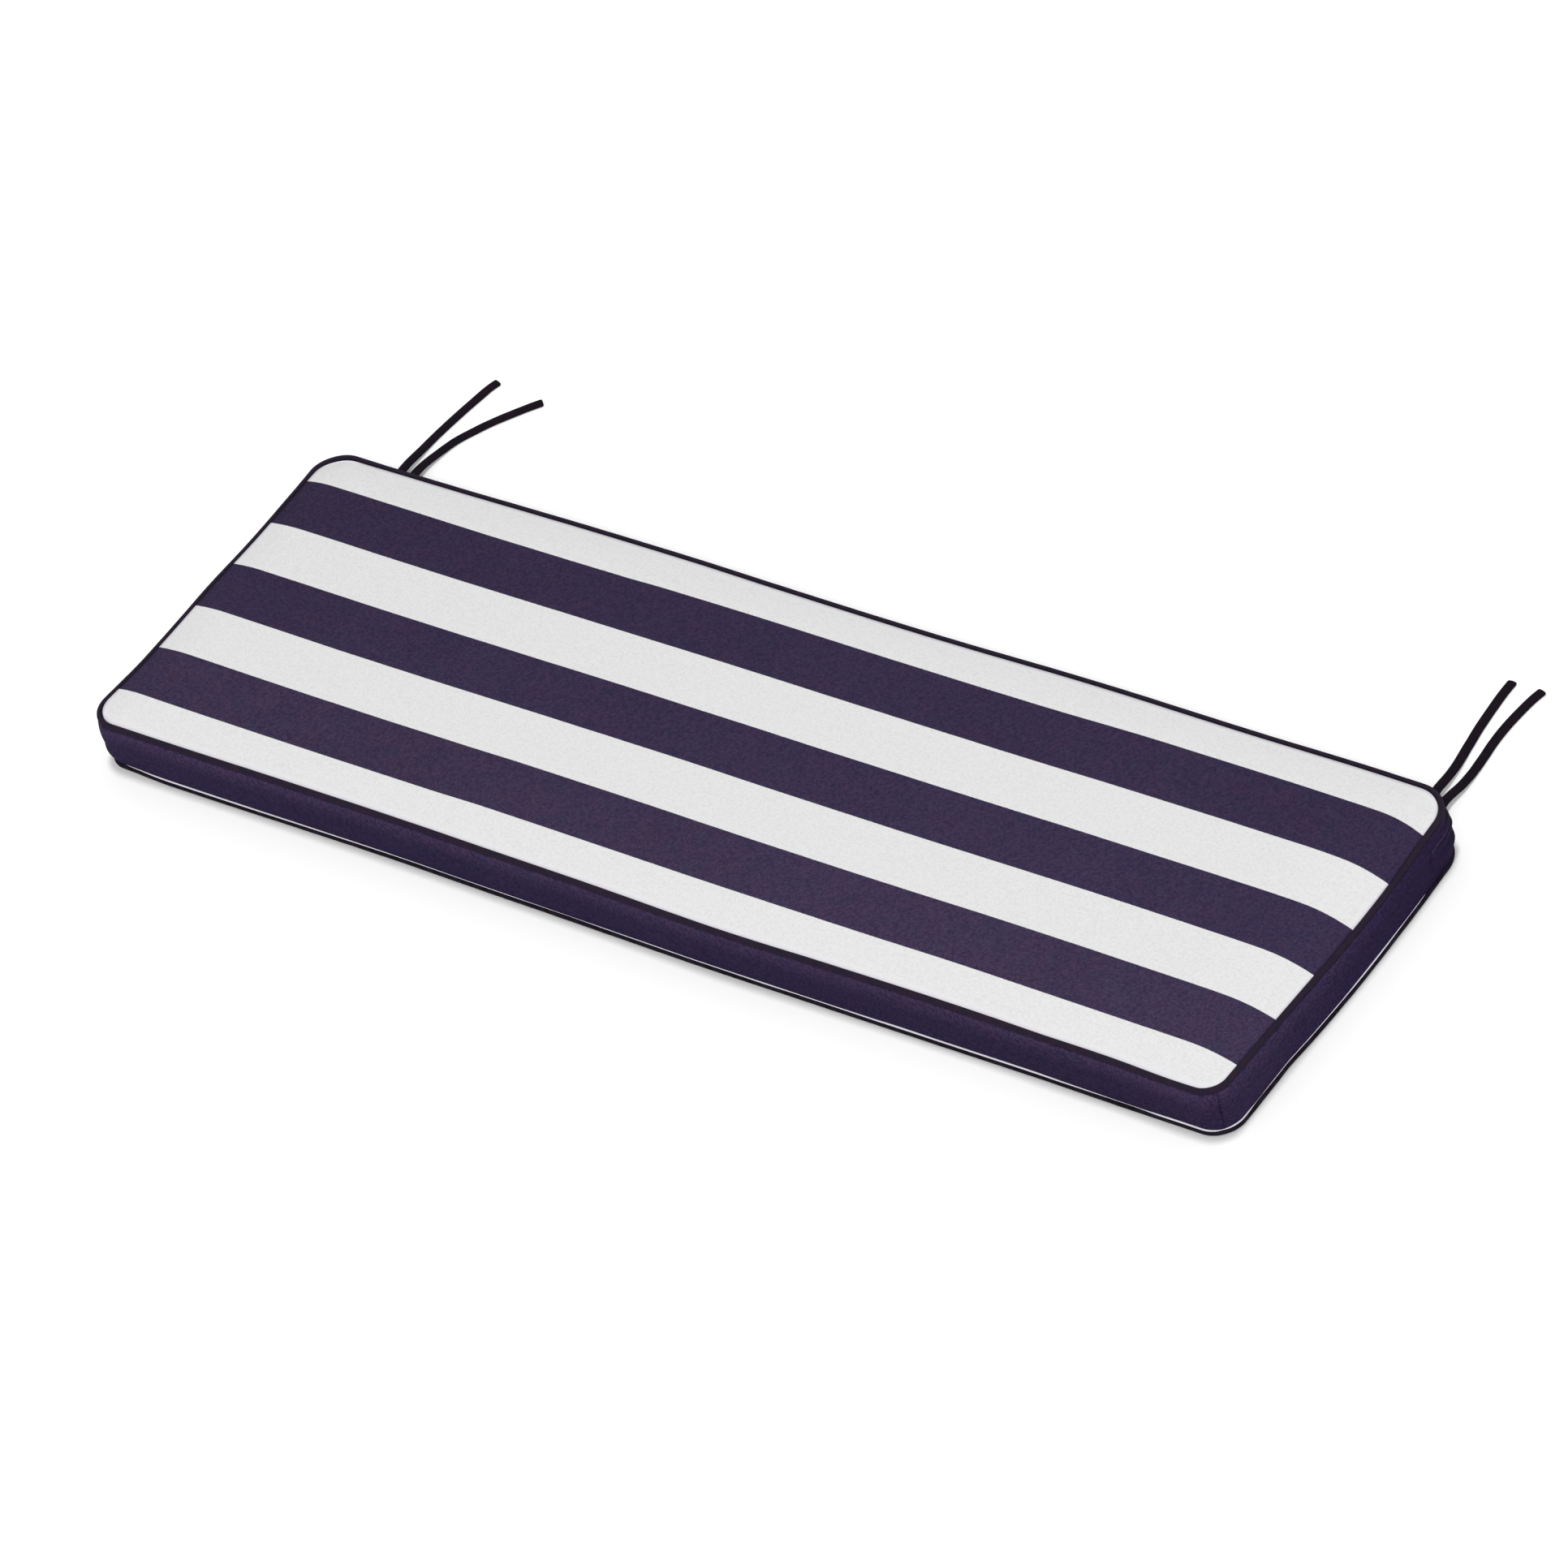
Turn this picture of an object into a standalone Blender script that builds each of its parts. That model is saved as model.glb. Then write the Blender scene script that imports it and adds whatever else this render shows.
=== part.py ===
"""Bench cushion: a long box-edged seat pad with piped seams and two pairs of ties at its back.

Metres, +Z up. The origin is the middle of the underside, +X runs along the length and +Y points
to the side with the ties.
"""

import math

import bmesh
import bpy
from mathutils import Vector

# Driving dimensions
LENGTH = 1.200  # between the centre lines of the piping at the two ends
WIDTH = 0.356  # between the centre lines of the front and back piping
SEAM_RISE = 0.053  # from the bottom piping's centre line to the top one's
CORNER_RADIUS = 0.025
DRAW_IN = 0.0015  # how far each side pulls in midway between its corners
PIPING_DIAMETER = 0.005
PIECE_GAP = 0.0003

# Boxing: the border strip between the two rows of piping
BOXING_THICKNESS = 0.0012
BOXING_PROUD = 0.0008  # its outer face at both seams, outside the piping's centre line
BOXING_SWELL = 0.0012  # how much further it stands out at half height
BOXING_LOW = 0.0080  # the white cloth of the underside shows between this and the piping
BOXING_HIGH = 0.0526

# Crown of the stuffed top
CROWN = 0.0060  # above the top piping's centre line
SEAM_LIP = 0.0016  # the top cloth's height over that line where it meets the piping
SEAM_INSET = 0.0030
CROWN_RUN_ENDS = 0.089  # how far in from the ends the top is still rising
CROWN_RUN_SIDES = 0.042
CROWN_POWER = 2.5

# Ties: flat stitched tapes
TIE_WIDTH = 0.0091
TIE_THICKNESS = 0.002
TIE_EDGE_ROUND = 0.0005

# Facets
CORNER_STEPS = 6
LONG_SIDE_STEPS = 12
SHORT_SIDE_STEPS = 5
PIPING_FACETS = 8
BOXING_ROWS = 4
TIE_STEPS_PER_POINT = 2
SHARPEST_CORNER = 0.006

PIPING_RADIUS = PIPING_DIAMETER / 2
LOW_SEAM = PIPING_RADIUS
HIGH_SEAM = LOW_SEAM + SEAM_RISE

# Half section of the stuffed body below the boxing: it rests flat, then turns up round the piping.
# Columns: inset from the piping's centre line, height over the floor.
UNDERSIDE_SECTION = (
    (0.0070, 0.0000),
    (0.0048, 0.0002),
    (0.0034, 0.0010),
    (0.00295, 0.0025),
    (0.0023, 0.0045),
    (0.0009, 0.0054),
)
# The same above the boxing, tucked under and behind the top piping. Heights count from its centre line.
TOP_SEAM_SECTION = (
    (0.0021, -0.00215),
    (0.00295, -0.0005),
)
# Insets of the rings that carry the crown
CROWN_INSETS = (SEAM_INSET, 0.006, 0.010, 0.016, 0.023, 0.032, 0.042, 0.060, 0.089)

# Routes of the ties' centre lines, from the seam under the boxing to the free end.
# Columns in millimetres: along the cushion, out from the back edge line, height over the floor.
TIE_ROUTES_MM = {
    "tie_left_a": (
        (-560.2, -0.4, 6.5),
        (-560.2, 6.0, 6.6),
        (-561.5, 14.0, 6.8),
        (-564.2, 22.0, 6.8),
        (-567.4, 30.0, 6.5),
        (-570.0, 38.0, 6.0),
        (-571.5, 49.0, 4.9),
        (-572.0, 59.9, 3.6),
        (-572.3, 70.3, 2.4),
        (-572.3, 80.8, 1.7),
        (-571.8, 90.8, 1.4),
        (-571.0, 100.8, 1.2),
        (-569.9, 110.3, 1.2),
        (-568.6, 120.3, 1.2),
        (-567.3, 129.8, 1.2),
        (-565.8, 139.2, 1.2),
        (-564.3, 148.7, 1.2),
        (-562.6, 158.2, 1.2),
        (-559.5, 168.1, 1.2),
    ),
    "tie_left_b": (
        (-549.8, -0.4, 6.5),
        (-549.8, 6.0, 6.6),
        (-550.6, 14.0, 6.8),
        (-552.3, 22.0, 6.8),
        (-554.3, 30.0, 6.5),
        (-555.9, 38.5, 6.0),
        (-556.6, 50.0, 4.8),
        (-556.0, 60.9, 3.5),
        (-554.7, 70.6, 2.4),
        (-552.8, 80.5, 1.7),
        (-550.0, 90.0, 1.4),
        (-546.2, 98.5, 1.2),
        (-541.6, 106.7, 1.2),
        (-537.0, 114.8, 1.2),
        (-531.9, 122.7, 1.2),
        (-526.6, 130.2, 1.2),
        (-521.0, 137.6, 1.2),
        (-515.3, 145.0, 1.2),
        (-509.5, 152.2, 1.2),
        (-502.4, 160.2, 1.2),
    ),
    "tie_right_a": (
        (549.8, -0.4, 6.5),
        (549.8, 6.0, 6.6),
        (548.7, 14.0, 6.8),
        (546.2, 22.0, 6.8),
        (543.9, 30.0, 6.5),
        (542.1, 37.9, 6.0),
        (541.5, 47.7, 4.9),
        (540.8, 58.5, 3.6),
        (539.5, 69.4, 2.4),
        (537.8, 79.9, 1.7),
        (536.0, 90.4, 1.4),
        (534.5, 100.9, 1.2),
        (533.0, 110.8, 1.2),
        (531.9, 120.9, 1.2),
        (531.0, 131.1, 1.2),
        (530.3, 140.7, 1.2),
        (529.6, 150.9, 1.2),
        (529.3, 160.9, 1.2),
        (529.4, 172.1, 1.2),
    ),
    "tie_right_b": (
        (560.2, -0.4, 6.5),
        (560.2, 6.0, 6.6),
        (558.8, 14.0, 6.8),
        (556.8, 22.2, 6.6),
        (555.8, 30.6, 6.0),
        (556.2, 40.0, 5.0),
        (557.1, 49.8, 3.8),
        (557.0, 60.1, 2.6),
        (556.5, 70.8, 1.8),
        (555.6, 81.1, 1.4),
        (554.6, 92.0, 1.2),
        (553.6, 102.4, 1.2),
        (553.2, 112.4, 1.2),
        (553.2, 122.4, 1.2),
        (553.7, 132.3, 1.2),
        (554.6, 142.3, 1.2),
        (555.7, 151.8, 1.2),
        (557.2, 161.3, 1.2),
        (559.7, 171.6, 1.2),
    ),
}


def clear_scene():
    """Remove whatever the file opened with."""
    for item in list(bpy.data.objects):
        bpy.data.objects.remove(item, do_unlink=True)


def cloth_material(name, colour, roughness):
    """A plain cloth finish."""
    material = bpy.data.materials.new(name)
    material.use_nodes = True
    shader = material.node_tree.nodes["Principled BSDF"]
    shader.inputs["Base Color"].default_value = (*colour, 1.0)
    shader.inputs["Roughness"].default_value = roughness
    shader.inputs["Metallic"].default_value = 0.0
    material.diffuse_color = (*colour, 1.0)
    return material


def side_points(start, end, outward, steps):
    """Points between two corner arcs, on a line that pulls in midway."""
    points = []
    for step in range(1, steps):
        share = step / steps
        pull = DRAW_IN * math.sin(math.pi * share) ** 2
        points.append(start.lerp(end, share) - outward * pull)
    return points


def edge_loop(inset):
    """The cushion's outline seen from above, anticlockwise, inset from the piping's centre line."""
    radius = max(CORNER_RADIUS - inset, SHARPEST_CORNER)
    reach_x = LENGTH / 2 - inset - radius
    reach_y = WIDTH / 2 - inset - radius
    # Columns: sign of the corner's x, sign of its y, angle at which its arc starts
    corners = ((1, -1, -90), (1, 1, 0), (-1, 1, 90), (-1, -1, 180))
    arcs = []
    for sign_x, sign_y, start in corners:
        centre = Vector((sign_x * reach_x, sign_y * reach_y))
        arc = []
        for step in range(CORNER_STEPS + 1):
            angle = math.radians(start + 90 * step / CORNER_STEPS)
            arc.append(centre + radius * Vector((math.cos(angle), math.sin(angle))))
        arcs.append(arc)
    sides = (
        (Vector((1, 0)), SHORT_SIDE_STEPS),
        (Vector((0, 1)), LONG_SIDE_STEPS),
        (Vector((-1, 0)), SHORT_SIDE_STEPS),
        (Vector((0, -1)), LONG_SIDE_STEPS),
    )
    loop = []
    for index, (outward, steps) in enumerate(sides):
        loop += arcs[index]
        loop += side_points(arcs[index][-1], arcs[(index + 1) % 4][0], outward, steps)
    return loop


def crown_height(x, y):
    """Height of the stuffed top over the top piping's centre line."""
    along = min((LENGTH / 2 - abs(x)) / CROWN_RUN_ENDS, 1.0)
    across = min((WIDTH / 2 - abs(y)) / CROWN_RUN_SIDES, 1.0)
    swell = (1 - (1 - along) ** CROWN_POWER) * (1 - (1 - across) ** CROWN_POWER)
    return SEAM_LIP + (CROWN - SEAM_LIP) * swell


def boxing_swell(height):
    """How far the boxing stands out at a height, over its place at the seams."""
    middle = (BOXING_LOW + BOXING_HIGH) / 2
    half = (BOXING_HIGH - BOXING_LOW) / 2
    return BOXING_SWELL * (1 - ((height - middle) / half) ** 2)


def boxing_heights():
    """Heights of the boxing's rows, from its lower edge to its upper one."""
    return [BOXING_LOW + (BOXING_HIGH - BOXING_LOW) * row / BOXING_ROWS for row in range(BOXING_ROWS + 1)]


def join_rings(mesh, lower, upper):
    """Quads between two rings of vertices that run the same way."""
    count = len(lower)
    for index in range(count):
        following = (index + 1) % count
        mesh.faces.new((lower[index], lower[following], upper[following], upper[index]))


def object_from(mesh, name, material):
    """Turn a bmesh into a named object with its faces pointing out."""
    bmesh.ops.recalc_face_normals(mesh, faces=mesh.faces)
    data = bpy.data.meshes.new(name)
    mesh.to_mesh(data)
    mesh.free()
    data.materials.append(material)
    data.shade_smooth()
    data.set_sharp_from_angle(angle=math.radians(50))
    item = bpy.data.objects.new(name, data)
    bpy.context.scene.collection.objects.link(item)
    return item


def hoop(name, section, material):
    """A closed section of (inset, height) pairs carried once round the cushion's outline."""
    mesh = bmesh.new()
    rings = []
    for inset, height in section:
        rings.append([mesh.verts.new((x, y, height)) for x, y in edge_loop(inset)])
    for index, ring in enumerate(rings):
        join_rings(mesh, ring, rings[(index + 1) % len(rings)])
    return object_from(mesh, name, material)


def make_cushion(material):
    """The filled body: flat underside, swelling sides and crowned top in one solid."""
    body_inset = BOXING_THICKNESS + PIECE_GAP - BOXING_PROUD
    section = list(UNDERSIDE_SECTION)
    section += [(body_inset - boxing_swell(height), height) for height in boxing_heights()]
    section += [(inset, HIGH_SEAM + rise) for inset, rise in TOP_SEAM_SECTION]
    mesh = bmesh.new()
    rings = []
    for inset, height in section:
        rings.append([mesh.verts.new((x, y, height)) for x, y in edge_loop(inset)])
    for inset in CROWN_INSETS:
        loop = edge_loop(inset)
        rings.append([mesh.verts.new((x, y, HIGH_SEAM + crown_height(x, y))) for x, y in loop])
    for lower, upper in zip(rings, rings[1:]):
        join_rings(mesh, lower, upper)
    mesh.faces.new(list(reversed(rings[0])))
    mesh.faces.new(rings[-1])
    return object_from(mesh, "cushion", material)


def make_boxing(material):
    """The border strip round all four sides."""
    heights = boxing_heights()
    outer = [(-BOXING_PROUD - boxing_swell(height), height) for height in heights]
    inner = [(inset + BOXING_THICKNESS, height) for inset, height in reversed(outer)]
    return hoop("boxing", outer + inner, material)


def make_piping(name, height, material):
    """One row of piping, a round cord in a closed loop."""
    section = []
    for facet in range(PIPING_FACETS):
        angle = 2 * math.pi * facet / PIPING_FACETS
        section.append((PIPING_RADIUS * math.cos(angle), height + PIPING_RADIUS * math.sin(angle)))
    return hoop(name, section, material)


def smooth_route(points, steps):
    """Points on a smooth curve through the route's own points."""
    ends = [points[0] * 2 - points[1], *points, points[-1] * 2 - points[-2]]
    route = []
    for before, start, end, after in zip(ends, ends[1:], ends[2:], ends[3:]):
        for step in range(steps):
            t = step / steps
            route.append(
                0.5
                * (
                    2 * start
                    + (end - before) * t
                    + (2 * before - 5 * start + 4 * end - after) * t**2
                    + (3 * start - before - 3 * end + after) * t**3
                )
            )
    route.append(points[-1])
    return route


def tie_section():
    """Half-rounded flat section: pairs across the width and through the thickness."""
    wide = TIE_WIDTH / 2
    thick = TIE_THICKNESS / 2
    cut = TIE_EDGE_ROUND
    return (
        (wide, thick - cut),
        (wide - cut, thick),
        (cut - wide, thick),
        (-wide, thick - cut),
        (-wide, cut - thick),
        (cut - wide, -thick),
        (wide - cut, -thick),
        (wide, cut - thick),
    )


def make_tie(name, rows, material):
    """A flat tape along its route, its width kept level."""
    points = [Vector((along, WIDTH * 500 + out, height)) / 1000 for along, out, height in rows]
    route = smooth_route(points, TIE_STEPS_PER_POINT)
    up = Vector((0, 0, 1))
    mesh = bmesh.new()
    rings = []
    for index, centre in enumerate(route):
        heading = (route[min(index + 1, len(route) - 1)] - route[max(index - 1, 0)]).normalized()
        across = heading.cross(up).normalized()
        through = across.cross(heading)
        rings.append([mesh.verts.new(centre + across * u + through * v) for u, v in tie_section()])
    for before, after in zip(rings, rings[1:]):
        join_rings(mesh, before, after)
    mesh.faces.new(list(reversed(rings[0])))
    mesh.faces.new(rings[-1])
    return object_from(mesh, name, material)


def main():
    clear_scene()
    make_cushion(cloth_material("striped_cloth", (0.78, 0.78, 0.79), 0.85))
    make_boxing(cloth_material("navy_cloth", (0.035, 0.025, 0.065), 0.85))
    make_piping("piping_bottom", LOW_SEAM, cloth_material("piping_bottom_cloth", (0.022, 0.014, 0.026), 0.8))
    make_piping("piping_top", HIGH_SEAM, cloth_material("piping_top_cloth", (0.030, 0.020, 0.036), 0.8))
    for name, rows in TIE_ROUTES_MM.items():
        make_tie(name, rows, cloth_material(name + "_cloth", (0.014, 0.009, 0.018), 0.8))


main()
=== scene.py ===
"""Looks of the bench cushion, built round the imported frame.

Metres, +Z up, in the frame's own place: the underside rests on z = 0, +X runs along the length and +Y
points to the side with the ties.
"""

import math
from bisect import bisect_right

import bpy
from mathutils import Matrix, Vector, geometry, noise


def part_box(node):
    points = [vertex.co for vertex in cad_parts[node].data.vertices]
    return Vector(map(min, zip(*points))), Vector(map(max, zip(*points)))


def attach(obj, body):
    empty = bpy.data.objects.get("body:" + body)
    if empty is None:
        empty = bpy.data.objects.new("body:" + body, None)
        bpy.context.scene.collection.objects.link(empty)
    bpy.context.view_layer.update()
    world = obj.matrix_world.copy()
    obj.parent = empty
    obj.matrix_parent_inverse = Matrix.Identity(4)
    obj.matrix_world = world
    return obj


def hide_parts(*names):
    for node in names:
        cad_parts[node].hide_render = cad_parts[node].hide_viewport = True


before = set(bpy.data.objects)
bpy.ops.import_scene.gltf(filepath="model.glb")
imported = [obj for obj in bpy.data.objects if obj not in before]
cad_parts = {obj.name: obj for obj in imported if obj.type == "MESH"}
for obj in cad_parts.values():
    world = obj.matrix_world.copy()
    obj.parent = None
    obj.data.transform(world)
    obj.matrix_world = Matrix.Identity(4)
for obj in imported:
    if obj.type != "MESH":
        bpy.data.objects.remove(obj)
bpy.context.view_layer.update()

MM = 0.001

# Sizes read from the frame
LOW_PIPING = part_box("piping_bottom")
HIGH_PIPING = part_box("piping_top")
PIPING_RADIUS = (LOW_PIPING[1].z - LOW_PIPING[0].z) / 2
LENGTH = HIGH_PIPING[1].x - HIGH_PIPING[0].x - 2 * PIPING_RADIUS
WIDTH = HIGH_PIPING[1].y - HIGH_PIPING[0].y - 2 * PIPING_RADIUS
LOW_SEAM = (LOW_PIPING[0].z + LOW_PIPING[1].z) / 2
HIGH_SEAM = (HIGH_PIPING[0].z + HIGH_PIPING[1].z) / 2
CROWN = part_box("cushion")[1].z - HIGH_SEAM
HALF_LENGTH = LENGTH / 2
HALF_WIDTH = WIDTH / 2
SEAM_RISE = HIGH_SEAM - LOW_SEAM
AROUND = 2 * (LENGTH + WIDTH)

# Camera: the photograph's own viewing angle, through a long lens
CAMERA_AZIMUTH = 49.80
CAMERA_ELEVATION = 41.48
CAMERA_ROLL = -20.22
CAMERA_DISTANCE = 8.411
CAMERA_AIM = Vector((0.0064, 0.0169, 0.0093))
CAMERA_LENS = 231.0
CAMERA_SENSOR = 36.0

# Corner radii at the two seams, in millimetres: front left, front right, back right, back left
CORNER_RADII_MM = {"top": (26.0, 20.5, 32.5, 29.5), "bottom": (18.4, 24.5, 32.5, 30.0)}
CORNER_ZONE = 0.042  # the square at each corner in which the sheets turn round it
INNER_LENGTH = HALF_LENGTH - CORNER_ZONE
INNER_WIDTH = HALF_WIDTH - CORNER_ZONE

# How far each side stands out from a straight line, in millimetres: (place along the side, out)
SIDE_WAVES_MM = {
    "top": {
        "front": (
            (-600, 0.3), (-489, 0.0), (-400, -0.9), (-300, -1.4), (-235, -1.3), (-150, -0.6), (-49, 0.1),
            (74, 2.2), (134, 1.9), (192, 0.5), (300, -0.9), (366, -1.1), (424, -0.5), (490, -0.6),
            (555, 1.2), (600, 0.5),
        ),
        "back": (
            (-600, -2.0), (-535, -2.5), (-443, -1.9), (-379, -0.9), (-316, -0.1), (-191, 0.3), (-110, -0.8),
            (-4, -1.7), (56, -1.7), (116, -1.1), (200, 0.4), (270, 0.7), (351, -0.1), (409, -0.4),
            (507, 0.0), (600, -1.2),
        ),
        "left": (
            (-178, 1.6), (-155, 0.6), (-110, -2.3), (-80, -2.5), (-46, -1.9), (-4, -0.9), (50, -1.8),
            (83, -1.2), (126, 0.3), (155, 1.6), (178, 1.2),
        ),
        "right": (
            (-178, -0.3), (-140, 0.0), (-54, 1.5), (0, 3.0), (43, 3.3), (75, 2.8), (139, 0.5), (178, 0.2),
        ),
    },
    "bottom": {
        "front": (
            (-600, -3.6), (-582, -3.0), (-557, -1.9), (-535, -0.9), (-509, -0.8), (-444, -1.2), (-380, -1.9),
            (-280, -2.5), (-190, -1.6), (-100, -0.9), (-4, 0.0), (57, 0.5), (176, 0.0), (260, -0.5),
            (351, -1.1), (409, -1.5), (500, -1.0), (600, -1.2),
        ),
        "back": ((-600, -2.0), (-420, -1.6), (-200, 0.2), (0, -1.6), (240, 0.0), (420, -0.8), (600, -0.8)),
        "left": ((-178, 2.5), (-150, 1.0), (-100, -1.8), (0, -1.2), (100, -1.0), (178, 0.8)),
        "right": (
            (-178, -3.5), (-140, -3.2), (-103, -3.5), (-88, -3.5), (-56, -1.4), (-17, 0.1), (22, 0.5),
            (60, 0.0), (100, -0.9), (140, -2.7), (178, -3.6),
        ),
    },
}
SIDE_WAVE_REACH_X = 0.120  # how far in from an end its wave has died out
SIDE_WAVE_REACH_Y = 0.070

# How far the top seam sags at the right-hand end, in millimetres: (place across, drop)
END_SAG_MM = ((-178, 0.6), (-140, 1.1), (-54, 2.9), (0, 3.8), (43, 3.9), (75, 3.5), (139, 0.8), (178, 0.3))
END_SAG_REACH = 0.085

# Stuffed top. Lips: height of the cloth over the piping's centre where it meets it, in millimetres.
# Runs: how far in from the seam it is still rising.
SEAM_INSET = 0.0030
LIPS_MM = {"left": 2.0, "right": 0.5, "front": 0.6, "back": 1.2}
LIP_BLEND = 0.004  # how softly one side's lip turns into the next one's at a corner
RUNS = {"left": 0.034, "right": 0.105, "front": 0.042, "back": 0.042}
RISE_POWER = 2.5
BACK_LEFT_DIP = 0.0018  # how much lower the cloth lies beside the piping at the back left corner
BACK_LEFT_REACH = 0.045
TOP_RISE = 0.885  # the share of the frame's full crown that the middle reaches
LOFT_WAVES = ((0.00018, 14.0), (0.00008, 42.0))  # unevenness of the stuffing: height, waves a metre
SEAM_HIGHLIGHT_REACH = 0.0065  # how far in from the seam the white cloth gets its painted highlight, lighter and lilac

# Cloth simulation of the top
SIMULATED_STEP = 0.0080
SIMULATED_FRAMES = 20
SIMULATED_PRESSURE = 4.0
SIMULATED_LIMIT = 0.0006
SIMULATED_QUALITY = 5
SIMULATED_MASS = 0.3

# Stripes: distance of each boundary from the middle line, from the back to the front
STRIPE_BOUNDARIES = (0.1350, 0.0796, 0.0253, -0.0301, -0.0845, -0.1398)
# How far each boundary wanders towards the back, in millimetres, at these places along the cushion
WANDER_PLACES_MM = (-600, -545, -400, -240, -190, -60, 60, 210, 310, 400, 460, 520, 560)
WANDER_MM = (
    (0.6, 0.5, -0.3, 0.3, 1.5, 1.7, 0.9, 1.1, 2.7, 2.7, 2.4, 1.7, 1.8),
    (0.4, 0.3, -0.6, -0.1, 0.1, 0.4, 0.0, -0.1, 0.5, 0.8, 0.6, 0.4, 0.4),
    (0.4, -0.1, -1.1, -0.5, -0.1, -0.1, -0.4, -0.5, 0.0, 0.0, -0.1, -0.3, 0.2),
    (0.6, 0.2, -0.9, -0.2, 0.2, 0.6, -0.2, -0.2, 0.4, 0.7, 0.3, -0.1, 0.2),
    (0.6, 0.2, -0.9, -0.2, 0.6, 0.4, -0.5, -0.3, 0.6, 0.6, 0.1, -0.2, 0.1),
    (0.8, 0.0, -0.2, 0.4, 1.2, 0.7, 0.0, 0.4, 1.3, 1.0, 0.6, 0.3, 0.8),
)
# How far each boundary is drawn to the front at the right-hand seam, in millimetres
END_PULL_MM = (7.6, 5.4, 4.7, 4.5, 3.9, 3.9)
END_PULL_REACH = 0.048

# Boxing
BOXING_THICKNESS = 0.0012
BOXING_PROUD = 0.0008
BOXING_SWELL = 0.0014
BOXING_UNDER_PIPING = 0.0027  # its upper edge, below the top piping's centre
BOXING_RAW_EDGE = 0.00035  # how much its thickness is rounded off at its two edges
BOXING_BACK_SHARES = (0.985, 0.75, 0.5, 0.25, 0.015)  # heights of the rows of points on its back
BOXING_BACK = 0.06  # where its back lies on the flat cloth, beside its front
BEHIND_BOXING = BOXING_THICKNESS - BOXING_PROUD + 0.0003  # inset of the body's cloth behind it
WHITE_LINE_FOOT = 0.0051  # where the underside's cloth meets the bottom piping
BOXING_FOOT = WHITE_LINE_FOOT + 0.0002  # the boxing's lower edge, where the white line has no height
# The line of white cloth that shows under the boxing, in millimetres: (place, height).
# Places run round the cushion from its front left corner.
WHITE_LINE_MM = (
    (0, -0.3), (13, -0.3), (24, 0.35), (40, 0.6), (72, 1.2), (142, 1.2), (200, 0.85), (260, 0.75),
    (330, 0.55), (384, 0.48), (454, 0.49), (523, 0.38), (558, 0.53), (690, 0.62), (731, 0.82), (766, 0.6),
    (835, 0.85), (870, 1.5), (905, 1.25), (1000, 1.3), (1043, 0.75), (1110, 0.45), (1147, 1.4), (1182, 1.25),
    (1190, 0.9), (1196, 0.5), (1212, 1.0), (1226, 0.9), (1242, 0.35), (1264, 0.46), (1361, 0.57),
    (1399, 0.85), (1419, 0.85), (1457, 0.47), (1490, 0.3), (1506, -0.8), (1600, -0.8), (1700, 0.8),
    (2150, 1.2), (2600, 0.8), (2756, 0.6), (2930, 1.0), (3060, -0.1), (3112, -0.3),
)
JOIN_PLACE = 1.1998  # the boxing's own seam, round the front right corner
JOIN_LEAN = 0.0045  # how much further round its upper end is
JOIN_WIDTH = 0.0005
JOIN_DEPTH = 0.0007
JOIN_RIDGE = 0.0003  # height of the ridges on either side of it, and how far from it they are
JOIN_RIDGE_AWAY = 0.0035
PUCKER_PLACE = 1.5040  # a short upright pucker near the back right corner
PUCKER_WIDTH = 0.0016
PUCKER_DEPTH = 0.0006
SEAM_PUCKERS = 0.00022  # unevenness beside both seams, over this share of the height
SEAM_PUCKER_REACH = 0.22
SLOW_SWELLS = 0.00035  # unevenness everywhere
FRONT_LEFT_OUT = 0.0011  # how far its upper half stands out round the front left corner
FRONT_LEFT_REACH = 0.030
BACK_LEFT_PLACE = 2.756
PIPING_BUNCH = 0.0012  # how much the top piping's cover is bunched there
PIPING_BUNCH_REACH = 0.035
PIPING_SWAY = 0.00012  # how far the piping strays from its line

# Folds of the boxing round its corners: (place, share of the height), half sizes of the same, height in mm
FOLDS = (
    ((1.562, 0.60), (0.026, 0.42), 3.0),
    ((1.550, 0.24), (0.022, 0.16), 2.6),
    ((1.552, 0.56), (0.016, 0.040), 1.1),
    ((1.530, 0.61), (0.014, 0.040), 1.1),
    ((1.508, 0.67), (0.012, 0.040), 0.9),
    ((1.545, 0.84), (0.030, 0.060), -0.7),
    ((1.528, 0.44), (0.030, 0.070), -0.6),
    ((0.004, 0.70), (0.030, 0.45), 1.8),
    ((3.108, 0.70), (0.030, 0.45), 1.8),
    ((0.002, 0.24), (0.028, 0.26), 3.0),
    ((3.106, 0.24), (0.028, 0.26), 3.0),
)

# Lines on the boxing, its seam at the front right corner and painted highlights and shade along the creases
# near the back right corner: ends as (place, height up the cloth), half width, and tint over the cloth's own
BOXING_SEAM_AND_LIGHT_LINES = (
    ((1.2000, 0.001), (1.2016, 0.032), 0.0009, (0.25, 0.25, 0.25)),
    ((1.2012, 0.020), (1.2042, 0.060), 0.0010, (0.36, 0.36, 0.36)),
    ((1.582, 0.0345), (1.498, 0.0365), 0.0015, (3.40, 4.60, 2.20)),
    ((1.5065, 0.0410), (1.5015, 0.0170), 0.0022, (0.58, 0.55, 0.62)),
    ((1.595, 0.0465), (1.525, 0.0440), 0.0045, (1.45, 1.15, 1.35)),
    ((1.575, 0.0215), (1.515, 0.0250), 0.0060, (0.80, 0.80, 0.84)),
    ((1.549, 0.0030), (1.490, 0.0030), 0.0120, (0.72, 0.70, 0.76)),
    ((1.550, -0.0120), (1.550, 0.0580), 0.0220, (0.30, 0.24, 0.32)),
)

# The body's cloth from the top piping down to the underside, as insets from the piping's centre line
TOP_SECTION = ((0.0029, 0.0002), (0.0028, -0.0008), (0.0024, -0.0018))  # inset, rise over that line
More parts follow.
